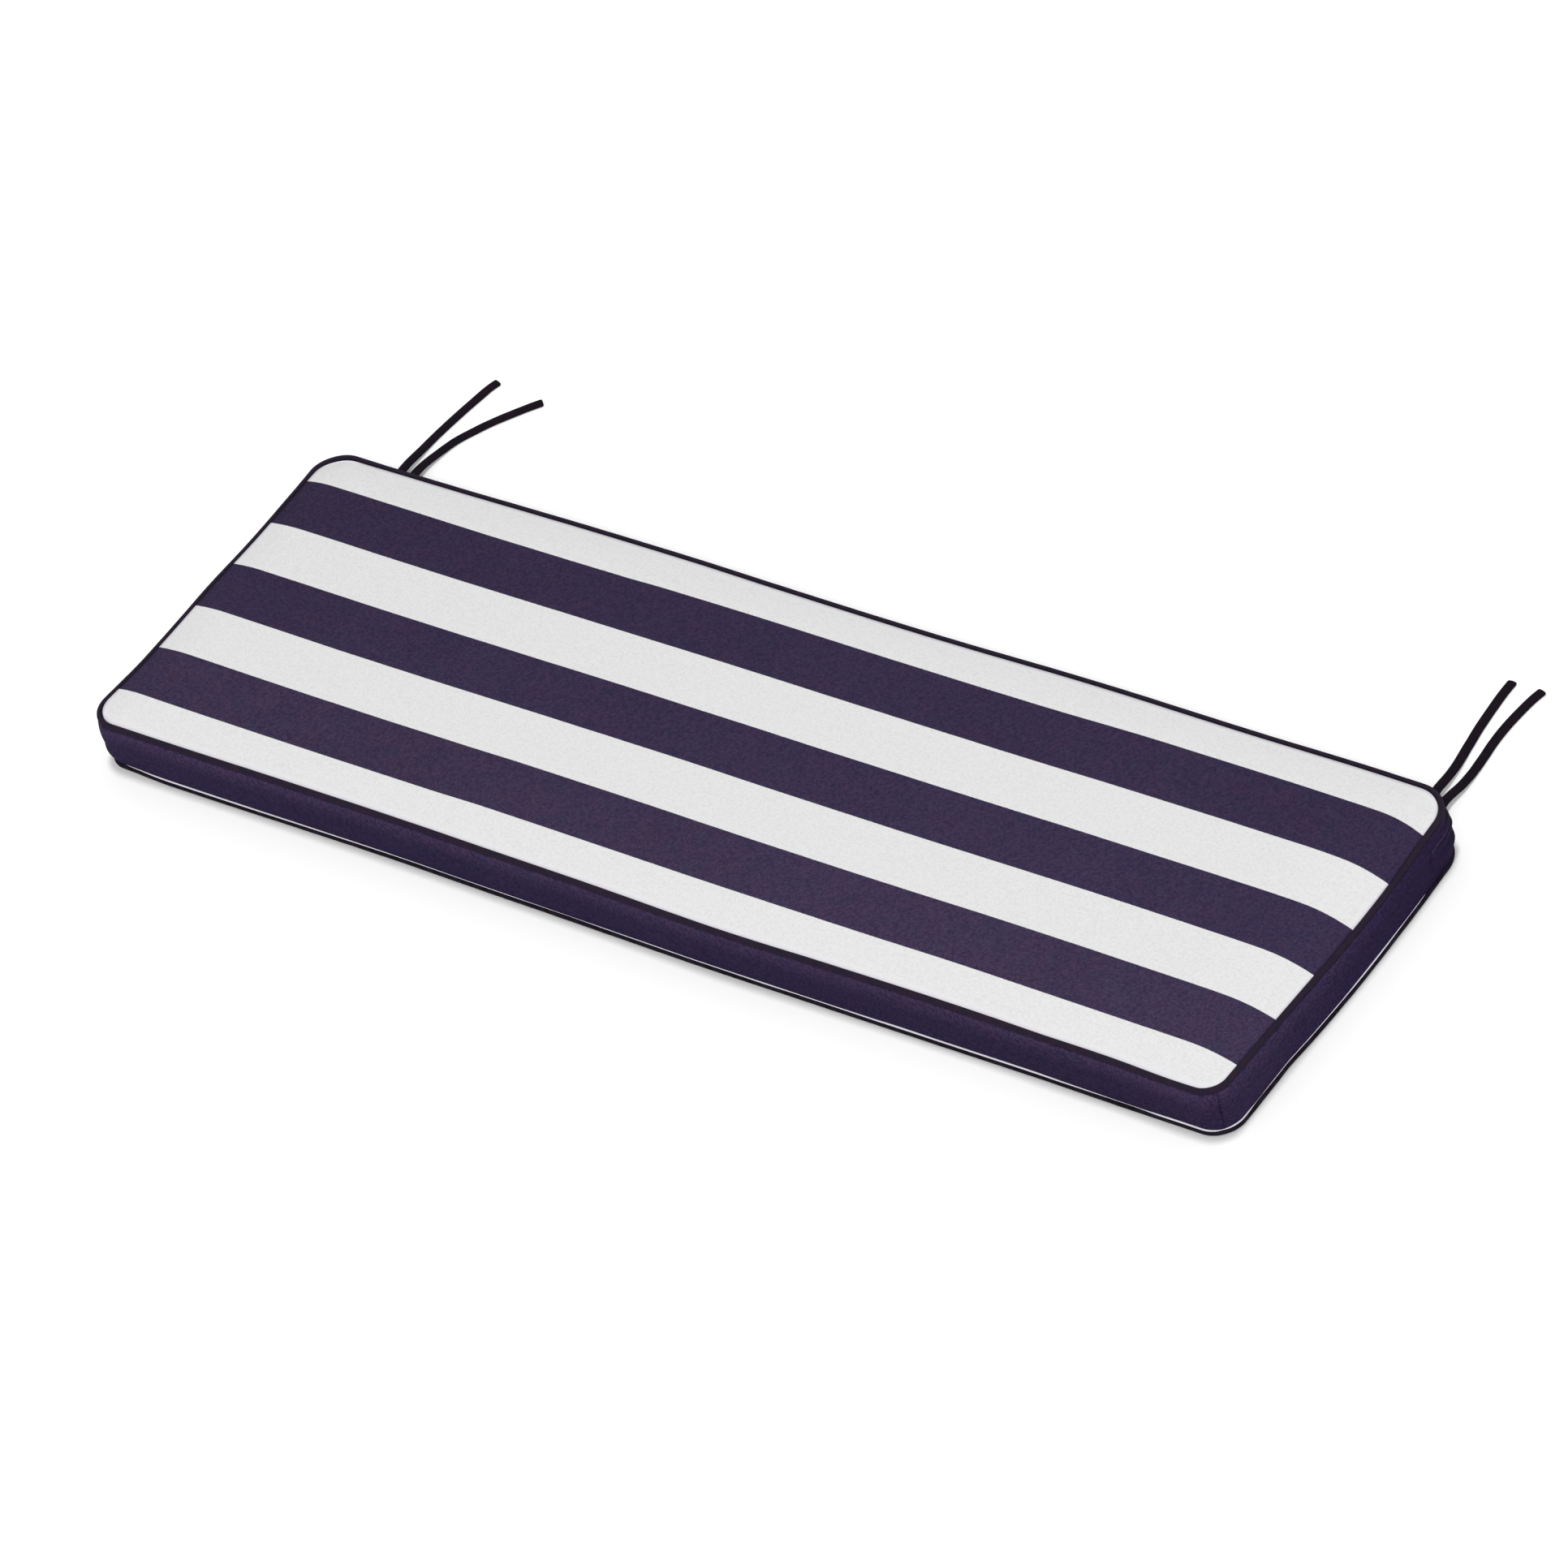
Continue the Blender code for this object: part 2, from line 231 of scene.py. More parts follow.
# The roll of white cloth under the boxing: inset, share of its height
ROLL_SECTION = ((0.00035, 1.06), (-0.00055, 0.97), (-0.00120, 0.75), (-0.00150, 0.45), (-0.00130, 0.15))
LEAST_ROLL = 0.0001
ROLL_SHOWS = 0.0003  # height at which it comes out from behind the boxing
ROLL_FULL = 0.0012  # height at which it is fully round
# The underside's edge behind the bottom piping: inset, height
UNDERSIDE_SECTION = (
    (0.0000, 0.00506), (0.0014, 0.00472), (0.0024, 0.00370), (0.00285, 0.00250), (0.0033, 0.00125),
    (0.0046, 0.00040), (0.0068, 0.00008),
)
UNDERSIDE_INSET = 0.0095  # where the underside lies flat on the floor

# Steps of the meshes
SHEET_STEP = 0.0040
BAND_STEP = 0.0028
CLOSE_STEP = 0.0004
CLOSE_REACH = 0.006
BOXING_ROWS = 40
PIPING_FACETS = 14
TIE_STEPS_PER_POINT = 4


def curve_through(pairs_mm):
    """A smooth function through (place, value) pairs, level beyond its ends, in metres."""
    places, values = ([number * MM for number in column] for column in zip(*pairs_mm))
    slopes = [0.0]
    for index in range(1, len(places) - 1):
        slopes.append((values[index + 1] - values[index - 1]) / (places[index + 1] - places[index - 1]))
    slopes.append(0.0)

    def value_at(place):
        if place <= places[0]:
            return values[0]
        if place >= places[-1]:
            return values[-1]
        index = bisect_right(places, place) - 1
        span = places[index + 1] - places[index]
        share = (place - places[index]) / span
        bend = slopes[index] * (1 - share) - slopes[index + 1] * share
        rise = (values[index + 1] - values[index]) * smooth(share)
        return values[index] + rise + span * share * (1 - share) * bend

    return value_at


def smooth(share):
    """0 to 1 with a soft start and end."""
    share = min(max(share, 0.0), 1.0)
    return share * share * (3 - 2 * share)


def bell(away):
    """1 at nothing, fading softly to 0 on either side."""
    return math.exp(-away * away)


SIDE_WAVES = {
    seam: {side: curve_through(pairs) for side, pairs in sides.items()}
    for seam, sides in SIDE_WAVES_MM.items()
}
END_SAG = curve_through(END_SAG_MM)
WHITE_LINE = curve_through(WHITE_LINE_MM)
WANDER = [curve_through(zip(WANDER_PLACES_MM, row)) for row in WANDER_MM]


# Camera and meshes


def link(name, data):
    """A new object in the scene."""
    item = bpy.data.objects.new(name, data)
    bpy.context.scene.collection.objects.link(item)
    return item


def make_camera():
    """The photograph's own view."""
    turned = Matrix.Rotation(math.radians(CAMERA_AZIMUTH), 4, "Z")
    turned @= Matrix.Rotation(math.radians(90 - CAMERA_ELEVATION), 4, "X")
    turned @= Matrix.Rotation(math.radians(CAMERA_ROLL), 4, "Z")
    data = bpy.data.cameras.new("camera")
    data.lens = CAMERA_LENS
    data.sensor_width = CAMERA_SENSOR
    data.clip_end = 50.0
    camera = link("camera", data)
    back = Matrix.Translation((0, 0, CAMERA_DISTANCE))
    camera.matrix_world = Matrix.Translation(CAMERA_AIM) @ turned @ back
    bpy.context.scene.camera = camera


def object_from(name, vertices, faces, materials=(), face_materials=None, cloth=None, seam=None):
    """A smooth object.

    cloth gives each face corner its place on the flat cloth, in metres, and seam gives each vertex its
    nearness to a seam.
    """
    data = bpy.data.meshes.new(name)
    data.from_pydata([tuple(vertex) for vertex in vertices], [], faces)
    for material in materials:
        data.materials.append(material)
    if face_materials:
        data.polygons.foreach_set("material_index", face_materials)
    if cloth:
        layer = data.uv_layers.new(name="cloth")
        layer.data.foreach_set("uv", [number for pair in cloth for number in pair])
    if seam:
        attribute = data.attributes.new("seam", "FLOAT", "POINT")
        attribute.data.foreach_set("value", seam)
    data.validate()
    data.shade_smooth()
    return link(name, data)


def grid_faces(columns, rows, first=0, upwards=True):
    """Quads between the vertices of a grid, which are listed row by row from vertex first."""
    near, far = (1, columns) if upwards else (columns, 1)
    starts = [first + row * columns + column for row in range(rows - 1) for column in range(columns - 1)]
    return [(start, start + near, start + columns + 1, start + far) for start in starts]


def grid_rim(columns, rows, first=0):
    """Numbers of a grid's border vertices, anticlockwise from its front left corner."""
    last_row = first + (rows - 1) * columns
    front = [first + column for column in range(columns - 1)]
    right = [first + row * columns + columns - 1 for row in range(rows - 1)]
    back = [last_row + column for column in range(columns - 1, 0, -1)]
    left = [first + row * columns for row in range(rows - 1, 0, -1)]
    return front + right + back + left


def band_faces(lower, upper):
    """Quads between two closed rings of vertex numbers."""
    faces = []
    for index in range(len(lower)):
        following = (index + 1) % len(lower)
        faces.append((lower[index], lower[following], upper[following], upper[index]))
    return faces


# Ties


TIE_WIDTH = 0.0091
TIE_THICKNESS = 0.002
TIE_PUFF = 0.00035
TIE_GIRTH = 0.019  # round its section, on the cloth
TIE_WOBBLE = 0.035  # how much its width varies, as a share
TIE_HEM_ROUND = 0.0021  # rounding of the free end's corners, seen from above
TIE_HEM_STEPS = (1.0, 0.72, 0.48, 0.28, 0.14, 0.05, 0.0)  # shares of it left, at each closer point
TIE_HEM_THIN = 0.0009  # how far back from the end it thins
TIE_STITCH_INSET = 0.0013
STITCH_LENGTH = 0.0022
STITCH_PITCH = 0.0030
STITCH_RADIUS = 0.00022
STITCH_SIDES = 6
STITCH_LIFT = TIE_THICKNESS / 2 * 0.80 + STITCH_RADIUS * 0.35  # from the middle of the tape
STITCH_STOP = 0.0016  # the last stitch's distance from the end

# Routes of the ties' centre lines, from the seam under the boxing to the free end.
# Columns in millimetres: along the cushion, out from the back edge line, height over the floor.
TIE_ROUTES_MM = {
    "tie_left_a": (
        (-560.2, -0.4, 6.5), (-560.2, 6.0, 6.6), (-561.5, 14.0, 6.8), (-564.2, 22.0, 6.8),
        (-567.4, 30.0, 6.5), (-570.0, 38.0, 6.0), (-571.5, 49.0, 4.9), (-572.0, 59.9, 3.6),
        (-572.3, 70.3, 2.4), (-572.3, 80.8, 1.7), (-571.8, 90.8, 1.4), (-571.0, 100.8, 1.2),
        (-569.9, 110.3, 1.2), (-568.6, 120.3, 1.2), (-567.3, 129.8, 1.2), (-565.8, 139.2, 1.2),
        (-564.3, 148.7, 1.2), (-562.6, 158.2, 1.2), (-559.5, 168.1, 1.2),
    ),
    "tie_left_b": (
        (-549.8, -0.4, 6.5), (-549.8, 6.0, 6.6), (-550.6, 14.0, 6.8), (-552.3, 22.0, 6.8),
        (-554.3, 30.0, 6.5), (-555.9, 38.5, 6.0), (-556.6, 50.0, 4.8), (-556.0, 60.9, 3.5),
        (-554.7, 70.6, 2.4), (-552.8, 80.5, 1.7), (-550.0, 90.0, 1.4), (-546.2, 98.5, 1.2),
        (-541.6, 106.7, 1.2), (-537.0, 114.8, 1.2), (-531.9, 122.7, 1.2), (-526.6, 130.2, 1.2),
        (-521.0, 137.6, 1.2), (-515.3, 145.0, 1.2), (-509.5, 152.2, 1.2), (-502.4, 160.2, 1.2),
    ),
    "tie_right_a": (
        (549.8, -0.4, 6.5), (549.8, 6.0, 6.6), (548.7, 14.0, 6.8), (546.2, 22.0, 6.8), (543.9, 30.0, 6.5),
        (542.1, 37.9, 6.0), (541.5, 47.7, 4.9), (540.8, 58.5, 3.6), (539.5, 69.4, 2.4), (537.8, 79.9, 1.7),
        (536.0, 90.4, 1.4), (534.5, 100.9, 1.2), (533.0, 110.8, 1.2), (531.9, 120.9, 1.2),
        (531.0, 131.1, 1.2), (530.3, 140.7, 1.2), (529.6, 150.9, 1.2), (529.3, 160.9, 1.2),
        (529.4, 172.1, 1.2),
    ),
    "tie_right_b": (
        (560.2, -0.4, 6.5), (560.2, 6.0, 6.6), (558.8, 14.0, 6.8), (556.8, 22.2, 6.6), (555.8, 30.6, 6.0),
        (556.2, 40.0, 5.0), (557.1, 49.8, 3.8), (557.0, 60.1, 2.6), (556.5, 70.8, 1.8), (555.6, 81.1, 1.4),
        (554.6, 92.0, 1.2), (553.6, 102.4, 1.2), (553.2, 112.4, 1.2), (553.2, 122.4, 1.2),
        (553.7, 132.3, 1.2), (554.6, 142.3, 1.2), (555.7, 151.8, 1.2), (557.2, 161.3, 1.2),
        (559.7, 171.6, 1.2),
    ),
}


def smooth_route(points, steps):
    """Points on a smooth curve through the route's own points."""
    ends = [points[0] * 2 - points[1], *points, points[-1] * 2 - points[-2]]
    route = []
    for before, start, end, after in zip(ends, ends[1:], ends[2:], ends[3:]):
        handles = (start + (end - before) / 6, end - (after - start) / 6)
        route += geometry.interpolate_bezier(start, *handles, end, steps + 1)[:-1]
    return [*route, points[-1]]


def distances_along(route):
    """How far along the route each of its points is."""
    distances = [0.0]
    for start, end in zip(route, route[1:]):
        distances.append(distances[-1] + (end - start).length)
    return distances


def tie_section():
    """Section of a folded and edge-stitched tape: (across, up) for unit half width and thickness.

    The cloth puffs up between the two stitched edges, and each edge is a round fold.
    """
    groove = 1 - TIE_STITCH_INSET / (TIE_WIDTH / 2)
    puff = 1 + TIE_PUFF / (TIE_THICKNESS / 2)
    right = [(1.0, 0.0), (0.985, 0.45), (0.93, 0.80), (0.82, 0.92), (groove, 0.74), (groove - 0.14, 0.98)]
    left = [(0.14 - groove, 0.98), (-groove, 0.80), (-0.82, 0.94), (-0.93, 0.80), (-0.985, 0.45)]
    upper = [*right, (0.25, puff), (-0.25, puff), *left]
    return upper + [(-across, -up) for across, up in upper]


def add_stitch(vertices, faces, centre, heading, across, through):
    """One short stitch of thread, a spindle."""
    rings = []
    for place, girth in ((-0.5, 0.35), (-0.36, 0.9), (0.0, 1.0), (0.36, 0.9), (0.5, 0.35)):
        rings.append(range(len(vertices), len(vertices) + STITCH_SIDES))
        for side in range(STITCH_SIDES):
            angle = 2 * math.pi * side / STITCH_SIDES
            out = across * math.cos(angle) + through * math.sin(angle)
            vertices.append(centre + heading * place * STITCH_LENGTH + out * STITCH_RADIUS * girth)
    for lower, upper in zip(rings, rings[1:]):
        faces += band_faces(lower, upper)
    faces += [tuple(reversed(rings[0])), tuple(rings[-1])]


def add_stitches(vertices, faces, kept, places, frames):
    """A row of stitches down one edge of the tape's upper face and the other edge of its lower face."""
    edge = TIE_WIDTH / 2 - TIE_STITCH_INSET
    place = STITCH_PITCH * 2
    index = 0
    while place < places[-1] - STITCH_STOP:
        while places[index + 1] < place:
            index += 1
        share = (place - places[index]) / (places[index + 1] - places[index])
        middle = kept[index].lerp(kept[index + 1], share)
        heading, across, through = frames[index]
        for side in (1, -1):
            centre = middle + (across * edge + through * STITCH_LIFT) * side
            add_stitch(vertices, faces, centre, heading, across, through)
        place += STITCH_PITCH


def make_tie(name, rows, cloth, thread):
    """A flat tape along its route, with a folded free end and stitches."""
    points = [Vector((along, HALF_WIDTH / MM + out, height)) * MM for along, out, height in rows]
    route = smooth_route(points, TIE_STEPS_PER_POINT)
    end = route[-1]
    last = (end - route[-2]).normalized()
    # The folded end is rounded over its last stretch, so the route gets closer points there
    kept = [point for point in route if (end - point).length > TIE_HEM_ROUND * 1.2]
    kept += [end - last * TIE_HEM_ROUND * back for back in TIE_HEM_STEPS]
    places = distances_along(kept)
    length = places[-1]
    section = tie_section()
    count = len(section)
    girths = [side / count * TIE_GIRTH for side in range(count + 1)]
    vertices, faces, cloth_places, frames = [], [], [], []
    for index, centre in enumerate(kept):
        heading = (kept[min(index + 1, len(kept) - 1)] - kept[max(index - 1, 0)]).normalized()
        across = heading.cross(Vector((0, 0, 1))).normalized()
        through = across.cross(heading)
        frames.append((heading, across, through))
        left = length - places[index]
        cut = max(TIE_HEM_ROUND - left, 0.0)
        half_width = TIE_WIDTH / 2 - TIE_HEM_ROUND + math.sqrt(max(TIE_HEM_ROUND**2 - cut**2, 0.0))
        thinned = max(TIE_HEM_THIN - left, 0.0) / TIE_HEM_THIN
        half_thickness = TIE_THICKNESS / 2 * (0.35 + 0.65 * math.sqrt(1 - thinned**2))
        half_width *= 1 + TIE_WOBBLE * noise.noise(Vector((places[index] * 90, len(name) + rows[0][0], 0)))
        for side, up in section:
            vertices.append(centre + across * side * half_width + through * up * half_thickness)
    for ring, (start, stop) in enumerate(zip(places, places[1:])):
        for side, (low, high) in enumerate(zip(girths, girths[1:])):
            near, far = ring * count + side, ring * count + (side + 1) % count
            faces.append((near, near + count, far + count, far))
            cloth_places += [(start, low), (stop, low), (stop, high), (start, high)]
    faces += [tuple(range(count)), tuple(reversed(range((len(kept) - 1) * count, len(kept) * count)))]
    cloth_places += [(place, girth) for place in (0.0, length) for girth in girths[:-1]]
    cloth_faces = len(faces)
    add_stitches(vertices, faces, kept, places, frames)
    cloth_places += [(0.0, 0.0)] * sum(len(face) for face in faces[cloth_faces:])
    face_materials = [0] * cloth_faces + [1] * (len(faces) - cloth_faces)
    tie = object_from(name + "_tape", vertices, faces, [cloth, thread], face_materials, cloth_places)
    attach(tie, "root")
    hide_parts(name)


# Outline


LEAST_BEND = 0.004  # radius that a corner keeps however far it is inset


def corner_index(x, y):
    """Which corner a point is nearest to, in the order of CORNER_RADII_MM."""
    if y < 0:
        return 0 if x < 0 else 1
    return 2 if x > 0 else 3


def corner_reach(angle, radius, inset):
    """How far the rounded outline is from the corner zone's inner corner, in a direction."""
    zone = CORNER_ZONE - inset
    centre = CORNER_ZONE - radius
    cosine, sine = math.cos(angle), math.sin(angle)
    if zone * sine <= centre * cosine:
        return zone / cosine
    if zone * cosine <= centre * sine:
        return zone / sine
    along = centre * (cosine + sine)
    bend = max(radius - inset, LEAST_BEND)
    return along + math.sqrt(max(along * along - 2 * centre * centre + bend * bend, 0.0))


def side_shift(x, y, level):
    """How far the sides' waves move a point in plan. level is 0 at the bottom seam and 1 at the top one."""
    fade_x = smooth(1 - (HALF_LENGTH - abs(x)) / SIDE_WAVE_REACH_X)
    fade_y = smooth(1 - (HALF_WIDTH - abs(y)) / SIDE_WAVE_REACH_Y)
    shift_x, shift_y = 0.0, 0.0
    for seam, share in (("bottom", 1 - level), ("top", level)):
        waves = SIDE_WAVES[seam]
        shift_x += share * fade_x * (waves["right"](y) if x > 0 else -waves["left"](y))
        shift_y += share * fade_y * (waves["back"](x) if y > 0 else -waves["front"](x))
    return shift_x, shift_y


def squeeze(value, inner, inset):
    """A sheet coordinate once the sheet's border is inset. Only the corner zones, past inner, shorten."""
    if abs(value) <= inner:
        return value
    return math.copysign(inner + (abs(value) - inner) * (CORNER_ZONE - inset) / CORNER_ZONE, value)


def rounded(u, v, inset, level):
    """A point of the square-cornered sheet once its corners are rounded."""
    x, y = squeeze(u, INNER_LENGTH, inset), squeeze(v, INNER_WIDTH, inset)
    over_x, over_y = abs(x) - INNER_LENGTH, abs(y) - INNER_WIDTH
    if over_x <= 0 or over_y <= 0:
        return x, y
    low, high = (CORNER_RADII_MM[seam][corner_index(x, y)] * MM for seam in ("bottom", "top"))
    angle = math.atan2(over_y, over_x)
    zone = CORNER_ZONE - inset
    square = zone / max(math.cos(angle), math.sin(angle))
    depth = max(over_x, over_y) / zone
    pull = 1 + (corner_reach(angle, low + (high - low) * level, inset) / square - 1) * depth**3
    return math.copysign(INNER_LENGTH + over_x * pull, x), math.copysign(INNER_WIDTH + over_y * pull, y)


def plan_point(u, v, inset, level):
    """Where a point of the square-cornered sheet lies in plan."""
    x, y = rounded(u, v, inset, level)
    shift_x, shift_y = side_shift(x, y, level)
    return x + shift_x, y + shift_y


def sheet_grid(step):
    """Columns, rows and (u, v) places of a grid over the square-cornered sheet, row by row."""
    columns, rows = round(LENGTH / step), round(WIDTH / step)
    us = [LENGTH * (column / columns - 0.5) for column in range(columns + 1)]
    vs = [WIDTH * (row / rows - 0.5) for row in range(rows + 1)]
    return columns + 1, rows + 1, [(u, v) for v in vs for u in us]


def border_point(place):
    """(u, v, place) on the square-cornered sheet's border, anticlockwise from its front left corner."""
    if place < LENGTH:
        return place - HALF_LENGTH, -HALF_WIDTH, place
    if place < LENGTH + WIDTH:
        return HALF_LENGTH, place - LENGTH - HALF_WIDTH, place
    if place < 2 * LENGTH + WIDTH:
        return LENGTH + WIDTH + HALF_LENGTH - place, HALF_WIDTH, place
    return -HALF_LENGTH, 2 * LENGTH + WIDTH + HALF_WIDTH - place, place


def even_border(step):
    """The border in the sheet's own steps."""
    border, start = [], 0.0
    for side in (LENGTH, WIDTH, LENGTH, WIDTH):
        count = round(side / step)
        border += [border_point(start + side * index / count) for index in range(count)]
        start += side
    return border


def fine_border(close_places=()):
    """The border in the bands' own steps, which are shorter beside the given places."""
    border = []
    place = 0.0
    while place < AROUND - BAND_STEP / 2:
        border.append(border_point(place))
        close = any(abs(place - other) < CLOSE_REACH for other in close_places)
        place += CLOSE_STEP if close else BAND_STEP
    return border


def seam_height(x, y):
    """Height of the top piping's centre line, carried inwards over the stuffed top."""
    inward = max(HALF_LENGTH - x, 0.0) / END_SAG_REACH
    return HIGH_SEAM - END_SAG(y) * max(1 - inward, 0.0) ** 2


# Stuffed body


def seam_inset(x, y):
    """How far inside the rounded outline of the top a point is."""
    radius = CORNER_RADII_MM["top"][corner_index(x, y)] * MM
    over_x = abs(x) - (HALF_LENGTH - radius)
    over_y = abs(y) - (HALF_WIDTH - radius)
    outside = math.hypot(max(over_x, 0.0), max(over_y, 0.0))
    return radius - outside - min(max(over_x, over_y), 0.0)


def top_height(x, y):
    """Height of the stuffed top at a point of the rounded sheet."""
    insets = {"left": HALF_LENGTH + x, "right": HALF_LENGTH - x}
    insets.update({"front": HALF_WIDTH + y, "back": HALF_WIDTH - y})
    scale = max(seam_inset(x, y), 0.0) / max(min(insets.values()), 1e-6)
    swell, lip, total = 1.0, 0.0, 0.0
    for side, inset in insets.items():
        reach = min(max(inset * scale - SEAM_INSET, 0.0) / RUNS[side], 1.0)
        swell *= 1 - (1 - reach) ** RISE_POWER
        weight = 1 / (inset + LIP_BLEND) ** 2
        lip += weight * LIPS_MM[side] * MM
        total += weight
    away = math.hypot(x + HALF_LENGTH, y - HALF_WIDTH) / BACK_LEFT_REACH
    lip = lip / total - BACK_LEFT_DIP * bell(away)
    height = seam_height(x, y) + lip + (CROWN * TOP_RISE - lip) * swell
    for rise, waves in LOFT_WAVES:
        height += rise * swell * noise.noise(Vector((x * waves, y * waves, rise * 1e5)))
    return height


def cloth_across(x, y):
    """A point's place across the striped cloth: where it lies, less the wander of the stripes there."""
    pull = max(1 - (HALF_LENGTH - x) / END_PULL_REACH, 0.0) ** 2
    offsets = [curve(x) - drawn * MM * pull for curve, drawn in zip(WANDER, END_PULL_MM)]
    if y >= STRIPE_BOUNDARIES[0]:
        return y - offsets[0]
    for index in range(1, len(offsets)):
        upper, lower = STRIPE_BOUNDARIES[index - 1], STRIPE_BOUNDARIES[index]
        if y >= lower:
            share = (upper - y) / (upper - lower)
            return y - offsets[index - 1] - (offsets[index] - offsets[index - 1]) * share
    return y - offsets[-1]


def on_stripes(points):
    """Places of points on the striped cloth."""
    return [(point.x, cloth_across(point.x, point.y)) for point in points]


def boxing_edges(u, v, place):
    """Heights of the boxing's lower and upper edges at a place round the cushion."""
    seam = seam_height(*rounded(u, v, 0.0, 1.0))
    return BOXING_FOOT + WHITE_LINE(place), seam - BOXING_UNDER_PIPING


def point_at(u, v, inset, height):
    """A point of the sides, inside or outside the piping's centre line."""
    level = min(max((height - LOW_SEAM) / SEAM_RISE, 0.0), 1.0)
    return Vector((*plan_point(u, v, inset, level), height))


def body_rings(border):
    """Rings of the body from the top cloth's border, down behind the boxing, to the underside."""
    sections = []
    for u, v, place in border:
        low, high = boxing_edges(u, v, place)
        # The roll of white cloth is fuller where more of it shows, and there is none where none shows
        shown = max(low - WHITE_LINE_FOOT, LEAST_ROLL)
        edge = BEHIND_BOXING + (ROLL_SECTION[0][0] - BEHIND_BOXING) * smooth(shown / ROLL_SHOWS)
        fullness = smooth(shown / ROLL_FULL)
        section = [(inset, high + BOXING_UNDER_PIPING + rise) for inset, rise in TOP_SECTION]
        for inset, share in ROLL_SECTION:
            inset = edge + (inset - ROLL_SECTION[0][0]) * fullness
            section.append((inset, WHITE_LINE_FOOT + shown * share))
        section += UNDERSIDE_SECTION
        sections.append([point_at(u, v, inset, height) for inset, height in section])
    return list(zip(*sections))


def place_on_top(u, v):
    """A point of the stuffed top over a place of the square-cornered sheet."""
    height = top_height(*rounded(u, v, SEAM_INSET, 1.0))
    return Vector((*plan_point(u, v, SEAM_INSET, 1.0), height))


def simulated_loft():
    """How far the top's cloth rises as it settles over its filling, as a function of a place (u, v).

    A coarse sheet, sewn at its edges, is blown up by a cloth simulation. Its motion is held to
    SIMULATED_LIMIT and read between its points.
    """
    columns, rows, grid = sheet_grid(SIMULATED_STEP)
    points = [place_on_top(u, v) for u, v in grid]
    draft = object_from("draft", points, grid_faces(columns, rows))
    draft.vertex_groups.new(name="sewn").add(grid_rim(columns, rows), 1.0, "REPLACE")
    modifier = draft.modifiers.new("cloth", "CLOTH")
    settings = modifier.settings
    settings.vertex_group_mass = "sewn"
    settings.use_pressure = True
    settings.uniform_pressure_force = SIMULATED_PRESSURE
    settings.effector_weights.gravity = 0.0
    settings.quality = SIMULATED_QUALITY
    settings.mass = SIMULATED_MASS
    scene = bpy.context.scene
    modifier.point_cache.frame_start = 1
    modifier.point_cache.frame_end = SIMULATED_FRAMES
    for frame_number in range(1, SIMULATED_FRAMES + 1):
        scene.frame_set(frame_number)
    settled = draft.evaluated_get(bpy.context.evaluated_depsgraph_get())
    loft = []
    for point, vertex in zip(points, settled.data.vertices):
        motion = vertex.co.z - point.z
        loft.append(motion / (1 + abs(motion) / SIMULATED_LIMIT))
    scene.frame_set(1)
    data = draft.data
    bpy.data.objects.remove(draft)
    bpy.data.meshes.remove(data)

    def loft_at(u, v):
        across = min((u / LENGTH + 0.5) * (columns - 1), columns - 1.001)
        up = min((v / WIDTH + 0.5) * (rows - 1), rows - 1.001)
        column, row = int(across), int(up)
        share_u, share_v = across - column, up - row
        first = row * columns + column
        low = loft[first] * (1 - share_u) + loft[first + 1] * share_u
        high = loft[first + columns] * (1 - share_u) + loft[first + columns + 1] * share_u
        return low * (1 - share_v) + high * share_v

    return loft_at


def make_body(striped, plain):
    """The filled body: crowned striped top, sides behind the boxing and plain underside, in one mesh."""
    columns, rows, grid = sheet_grid(SHEET_STEP)
    vertices = [place_on_top(u, v) for u, v in grid]
    cloth = on_stripes(vertices)
    insets = [seam_inset(*rounded(u, v, SEAM_INSET, 1.0)) for u, v in grid]
    # Nearness to the seam, which sets where the white is painted lighter and lilac as painted highlight
    seam = [smooth(1 - (inset - SEAM_INSET) / SEAM_HIGHLIGHT_REACH) for inset in insets]
    loft_at = simulated_loft()
    for point, (u, v) in zip(vertices, grid):
        point.z += loft_at(u, v)
    faces = grid_faces(columns, rows)
    above = grid_rim(columns, rows)
    striped_faces = len(faces) + len(TOP_SECTION) * len(above)
    for number, points in enumerate(body_rings(even_border(SHEET_STEP))):
        below = range(len(vertices), len(vertices) + len(points))
        vertices += points
        seam += [1.0] * len(points)
        faces += band_faces(below, above)
        above = below
        if number < len(TOP_SECTION):
            cloth += on_stripes(points)
        else:
            cloth += [(point.x, point.y + point.z) for point in points]
    first = len(vertices)
    underside = [plan_point(u, v, UNDERSIDE_INSET, 0.0) for u, v in grid]
    vertices += [(x, y, 0.0) for x, y in underside]
    cloth += underside
    seam += [0.0] * len(underside)
    faces += band_faces(grid_rim(columns, rows, first), above)
    faces += grid_faces(columns, rows, first, upwards=False)
    face_materials = [0] * striped_faces + [1] * (len(faces) - striped_faces)
    places = [cloth[vertex] for face in faces for vertex in face]
    body = object_from("cushion_body", vertices, faces, [striped, plain], face_materials, places, seam)
    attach(body, "root")
    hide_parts("cushion")


# Boxing and piping


def hoop(name, rings, cloth, across, along):
    """A closed tube of cloth round the cushion, from rings of points that run the same way.

    across lists each ring's place across the cloth, and along each point's place along it. Both have
    one more at the end, where the tube and its rings close.
    """
    count = len(rings[0])
    vertices = [point for ring in rings for point in ring]
    numbers = [range(ring * count, (ring + 1) * count) for ring in range(len(rings))]
    faces, places = [], []
    for lower, upper, low, high in zip(numbers, numbers[1:] + numbers[:1], across, across[1:]):
        faces += band_faces(lower, upper)
        for start, end in zip(along, along[1:]):
            places += [(start, low), (end, low), (end, high), (start, high)]
    return object_from(name, vertices, faces, [cloth], cloth=places)


